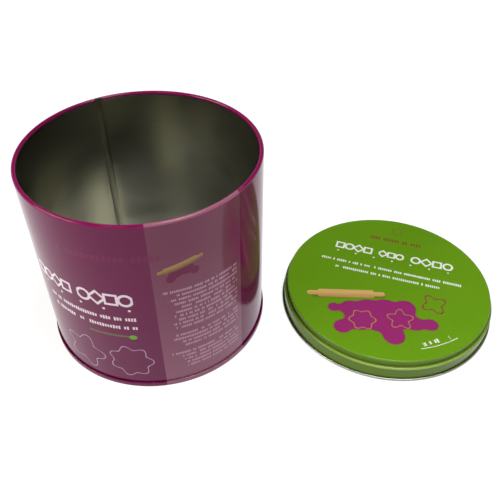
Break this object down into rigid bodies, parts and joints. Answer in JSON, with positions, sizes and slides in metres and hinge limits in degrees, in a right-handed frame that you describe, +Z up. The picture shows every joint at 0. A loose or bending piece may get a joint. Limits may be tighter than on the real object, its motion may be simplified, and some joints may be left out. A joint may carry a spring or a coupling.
{
  "type": "round slip-lid storage tin",
  "caption": "Round tinplate storage tin standing open, with a curled mouth, a seamed foot and its stepped slip lid lying beside it.",
  "frame": {"origin": "on the table, at the middle of the footprint of the tin and the lid together", "axes": "+X from the tin towards the lid, +Z up, +Y to the back"},
  "size_m": [0.257, 0.1232, 0.108],
  "materials": {
    "wall_print": "gloss print outside, bare tinplate inside",
    "base_tinplate": "satin tinplate, lacquered dark on the seam's outside",
    "lid_print": "satin print on top, bare tinplate inside and on the curled edge"
  },
  "bodies": {
    "tin": {"body_wall": "wall_print", "base_end": "base_tinplate"},
    "lid": {"slip_lid": "lid_print"}
  },
  "joints": [
    {"name": "lid_lift", "type": "slide", "parent": "tin", "child": "lid", "axis": [0, 0, 1], "range_m": [0, 0.12]}
  ]
}
